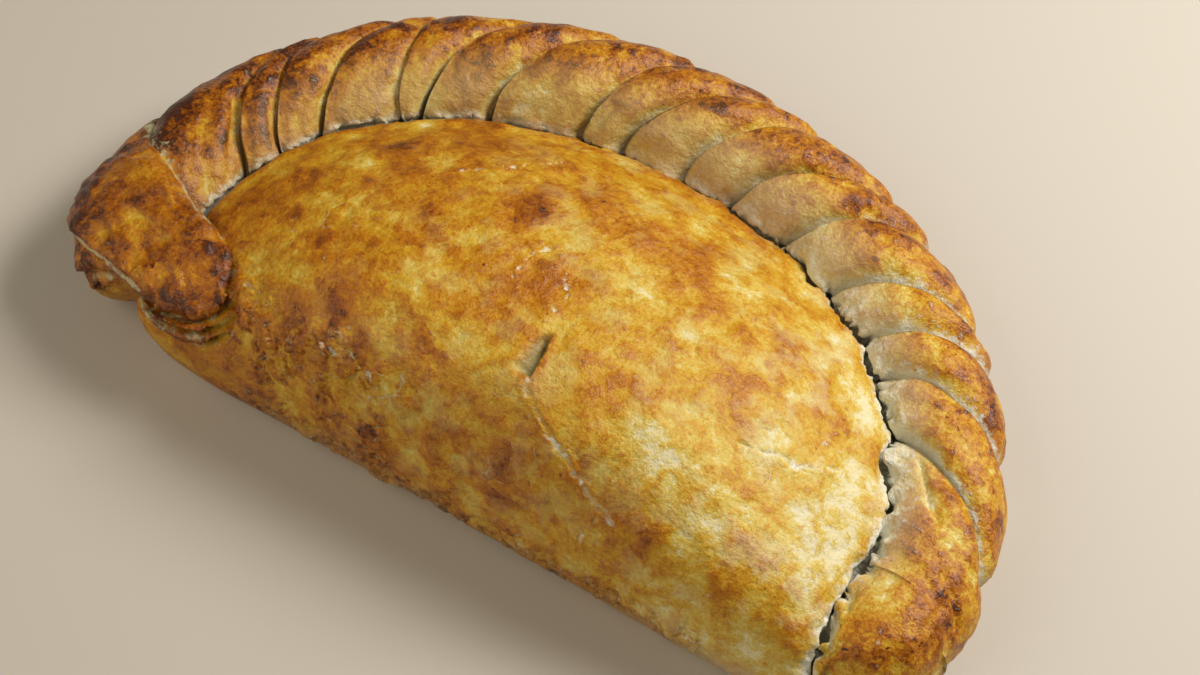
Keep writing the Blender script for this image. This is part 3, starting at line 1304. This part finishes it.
def crust_colour(tree, patterns, colours):
    """The browned crust, with pale floured dough where it is bare and damp dough in the creases."""
    ramp = add_node(tree, "ShaderNodeValToRGB", {}, Fac=patterns["browning"])
    elements = ramp.color_ramp.elements
    elements[0].position, elements[1].position = COLOUR_STOPS[0][1], COLOUR_STOPS[-1][1]
    for _, position in COLOUR_STOPS[1:-1]:
        elements.new(position)
    for element, (name, _) in zip(elements, COLOUR_STOPS):
        element.color = getattr(colours, name)

    share, middle = RAGGED_FLECKS
    settings = {"operation": "MULTIPLY_ADD", 1: share, 2: middle}
    ragged = add_node(tree, "ShaderNodeMath", settings, _0=patterns["fleck"]).outputs[0]
    links = {"_0": ragged, "_1": patterns["pale"]}
    ragged = add_node(tree, "ShaderNodeMath", {"operation": "ADD"}, **links).outputs[0]
    for name, share in RAGGED:
        settings = {"operation": "MULTIPLY_ADD", 1: share}
        links = {"_0": patterns[name], "_2": ragged}
        ragged = add_node(tree, "ShaderNodeMath", settings, **links).outputs[0]
    bare = add_node(tree, "ShaderNodeMapRange", BARE, Value=ragged).outputs[0]

    dusted = patterns["dusted"]
    flour = {"data_type": "RGBA", 6: colours.dough, 7: colours.dusted}
    dough = add_node(tree, "ShaderNodeMix", flour, Factor=dusted).outputs[2]
    # The crumbs hold more flour than the dough around them.
    flour = {"data_type": "RGBA", 7: colours.dusted}
    crumbs = add_node(tree, "ShaderNodeMix", flour, Factor=dusted, _6=dough).outputs[2]
    crust = ramp.outputs["Color"]
    for share, cover in ((patterns["hazy"], dough), (patterns["faded"], dough), (bare, crumbs)):
        links = {"Factor": share, "_6": crust, "_7": cover}
        crust = add_node(tree, "ShaderNodeMix", {"data_type": "RGBA"}, **links).outputs[2]
    damp = {"data_type": "RGBA", 7: colours.crease}
    return add_node(tree, "ShaderNodeMix", damp, Factor=patterns["shade"], _6=crust).outputs[2]


def crust_bumps(tree, patterns):
    """The fine relief of the crust, one bump over the other."""
    relief = None
    for name, strength, height in CRUST_RELIEF:
        links = {"Height": patterns[name]} | ({"Normal": relief} if relief else {})
        settings = {"Strength": strength, "Distance": height * MM}
        relief = add_node(tree, "ShaderNodeBump", settings, **links).outputs[0]
    return relief


def baked_shortcrust(colours):
    """Baked shortcrust, brushed with egg before the oven. The fat in the dough browns it in
    patches, and the egg gives it a low satin sheen where it is brown; bare dough stays matt."""
    material = bpy.data.materials.new("baked_shortcrust")
    material.use_nodes = True
    tree = material.node_tree
    tree.nodes.clear()
    patterns = crust_patterns(tree)
    crust = crust_colour(tree, patterns, colours)
    sheen = add_node(tree, "ShaderNodeMapRange", EGG_SHEEN, Value=patterns["browning"])
    links = {"Base_Color": crust, "Roughness": sheen.outputs[0]}
    links["Normal"] = crust_bumps(tree, patterns)
    shader = add_node(tree, "ShaderNodeBsdfPrincipled", {"IOR": DOUGH_IOR}, **links)
    add_node(tree, "ShaderNodeOutputMaterial", {}, Surface=shader.outputs[0])
    return material


def pale_floor(tint_of_floor):
    """Matt painted board. It spreads the light evenly and has no shine of its own."""
    material = bpy.data.materials.new("pale_floor")
    material.use_nodes = True
    shader = material.node_tree.nodes["Principled BSDF"]
    shader.inputs["Base Color"].default_value = tint_of_floor
    shader.inputs["Roughness"].default_value = 0.8
    return material


# ---- In its place ------------------------------------------------------------------------------


class PASTY_OT_settle(bpy.types.Operator):
    """Sets the pasty on the middle of its base, in the place of the plain solid"""

    bl_idname = "pasty.settle"
    bl_label = "Set in place"

    def execute(self, context):
        crust = found("pasty_crust")
        points = points_of(crust)
        low, high = points.min(0), points.max(0)
        shift = (low + high) / 2 - (CAD_BOX[0] + CAD_BOX[1]) / 2 / MM
        shift[2] = low[2]
        set_points(crust, points - shift)
        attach(crust, "root")
        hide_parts("pasty")
        return {"FINISHED"}


# ---- Stage -------------------------------------------------------------------------------------

CAMERA_AT = (126.43, -205.21, 406.92)
LOOK_AT = (4.79, -4.22, 0)
SENSOR_WIDTH = 36
FLOOR_SIZE = 6000
# The lights: width in metres, place, and colour.
LIGHTS = {
    "key": (0.26, (270, 300, 440), (1.0, 0.96, 0.9)),
    "fill": (0.8, (-380, -420, 480), (1.0, 0.89, 0.70)),
}
LIT = (0, 0, 15)  # the place at which the lights point
ROOM_COLOUR = (1, 0.93, 0.82, 1)
ROOM_STRENGTH = 0.1


def turn_to(thing, place):
    """Turns a light or a camera towards a place."""
    aim = Vector(place) * MM - thing.location
    thing.rotation_euler = aim.to_track_quat("-Z", "Y").to_euler()


class PASTY_OT_stage(bpy.types.Operator):
    """Lays the floor and sets the lights and the camera"""

    bl_idname = "pasty.stage"
    bl_label = "Stage"

    def execute(self, context):
        settings = context.scene.pasty_stage
        bpy.ops.object.select_all(action="DESELECT")
        bpy.ops.mesh.primitive_plane_add(size=FLOOR_SIZE * MM)
        floor = context.object
        floor.name = "floor"
        floor.data.materials.append(pale_floor(settings.floor))

        for name, (width, place, light_colour) in LIGHTS.items():
            bpy.ops.object.light_add(type="AREA", location=Vector(place) * MM)
            light = context.object
            light.name = name
            light.data.energy = getattr(settings, name)
            light.data.size, light.data.color = width, light_colour
            turn_to(light, LIT)
        room = bpy.data.worlds.new("studio")
        room.use_nodes = True
        background = room.node_tree.nodes["Background"]
        background.inputs["Color"].default_value = ROOM_COLOUR
        background.inputs["Strength"].default_value = ROOM_STRENGTH
        context.scene.world = room

        bpy.ops.object.camera_add(location=Vector(CAMERA_AT) * MM)
        camera = context.object
        turn_to(camera, LOOK_AT)
        camera.data.lens, camera.data.sensor_width = settings.lens, SENSOR_WIDTH
        camera.data.clip_start = 0.01
        context.scene.camera = camera
        context.scene.view_settings.view_transform = "Standard"
        return {"FINISHED"}


# ---- Panel and registration --------------------------------------------------------------------

STEPS = (
    PASTY_OT_body,
    PASTY_OT_crimp,
    PASTY_OT_tongue,
    PASTY_OT_skin,
    PASTY_OT_relief,
    PASTY_OT_crust,
    PASTY_OT_settle,
    PASTY_OT_stage,
)


class VIEW3D_PT_pasty(bpy.types.Panel):
    """Lists the steps of making the pasty, with its sizes and colours"""

    bl_label = "Cornish Pasty"
    bl_space_type = "VIEW_3D"
    bl_region_type = "UI"
    bl_category = "Pasty"

    def draw(self, context):
        for group in (getattr(context.scene, name) for name in GROUPS):
            box = self.layout.box()
            for name in group.bl_rna.properties.keys():
                if name not in ("name", "rna_type"):
                    box.prop(group, name)
        for step in STEPS:
            self.layout.operator(step.bl_idname)


GROUPS = {"pasty_sizes": PastySizes, "pasty_colours": PastyColours, "pasty_stage": StageSettings}
CLASSES = (*GROUPS.values(), *STEPS, VIEW3D_PT_pasty)


def register():
    for cls in CLASSES:
        bpy.utils.register_class(cls)
    for name, group in GROUPS.items():
        setattr(bpy.types.Scene, name, PointerProperty(type=group))


def unregister():
    for name in GROUPS:
        delattr(bpy.types.Scene, name)
    for cls in reversed(CLASSES):
        bpy.utils.unregister_class(cls)


def main():
    register()
    for step in STEPS:
        group, name = step.bl_idname.split(".")
        getattr(getattr(bpy.ops, group), name)()


if __name__ == "__main__":
    main()
